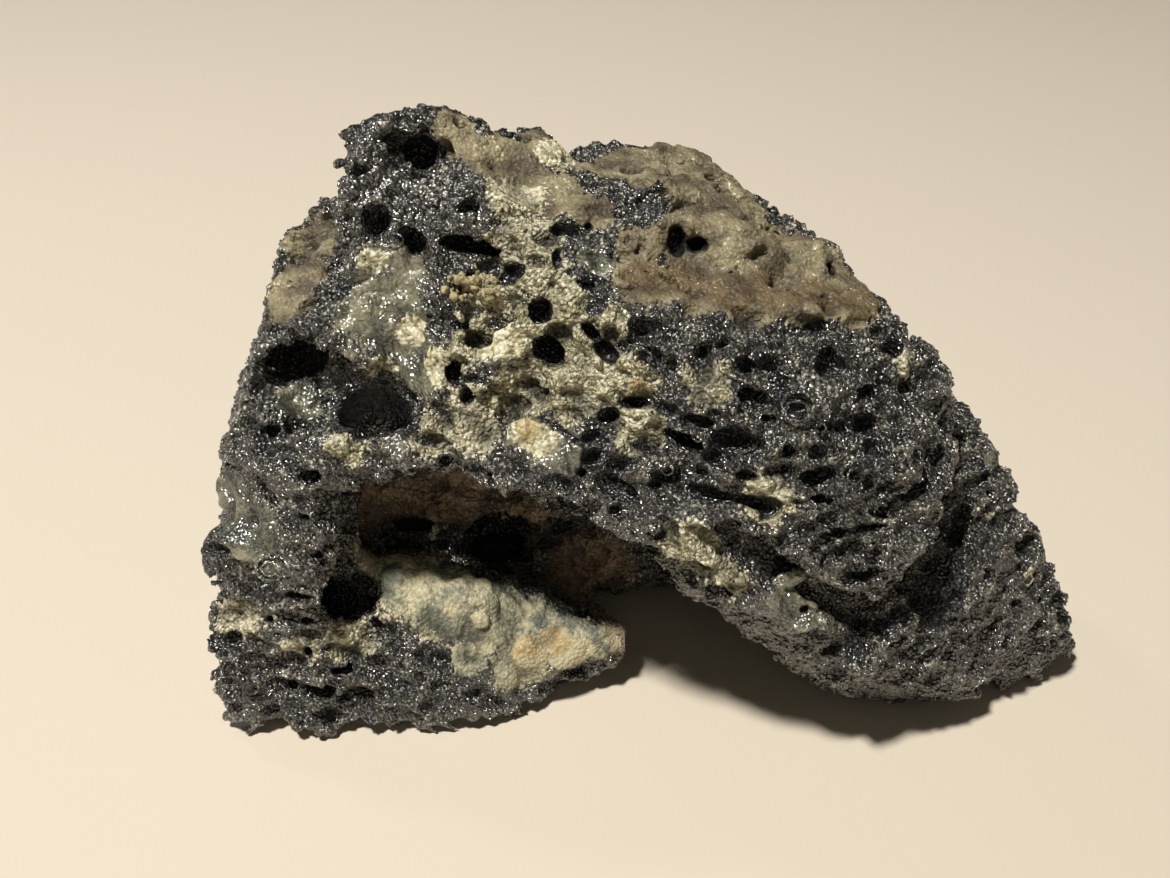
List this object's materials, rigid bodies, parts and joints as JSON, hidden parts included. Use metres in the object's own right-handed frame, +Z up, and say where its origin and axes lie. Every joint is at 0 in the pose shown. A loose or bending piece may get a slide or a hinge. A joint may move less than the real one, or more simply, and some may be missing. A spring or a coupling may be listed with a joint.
{
  "type": "lava rock",
  "caption": "Broken lump of dark vesicular basalt with an arched underside, a bubbly front and a brown crust on top, lying on its own feet.",
  "frame": {"origin": "middle of the underside of the rock's box, on the surface that it rests on", "axes": "+X along the rock's length towards the leaning slab, -Y towards the broken bubbly face with the cave, +Z up"},
  "size_m": [0.0464, 0.0272, 0.0297],
  "materials": {
    "basalt": "rough, glassy in the broken bubbles"
  },
  "bodies": {
    "root": {"lava_rock": "basalt"}
  },
  "joints": []
}
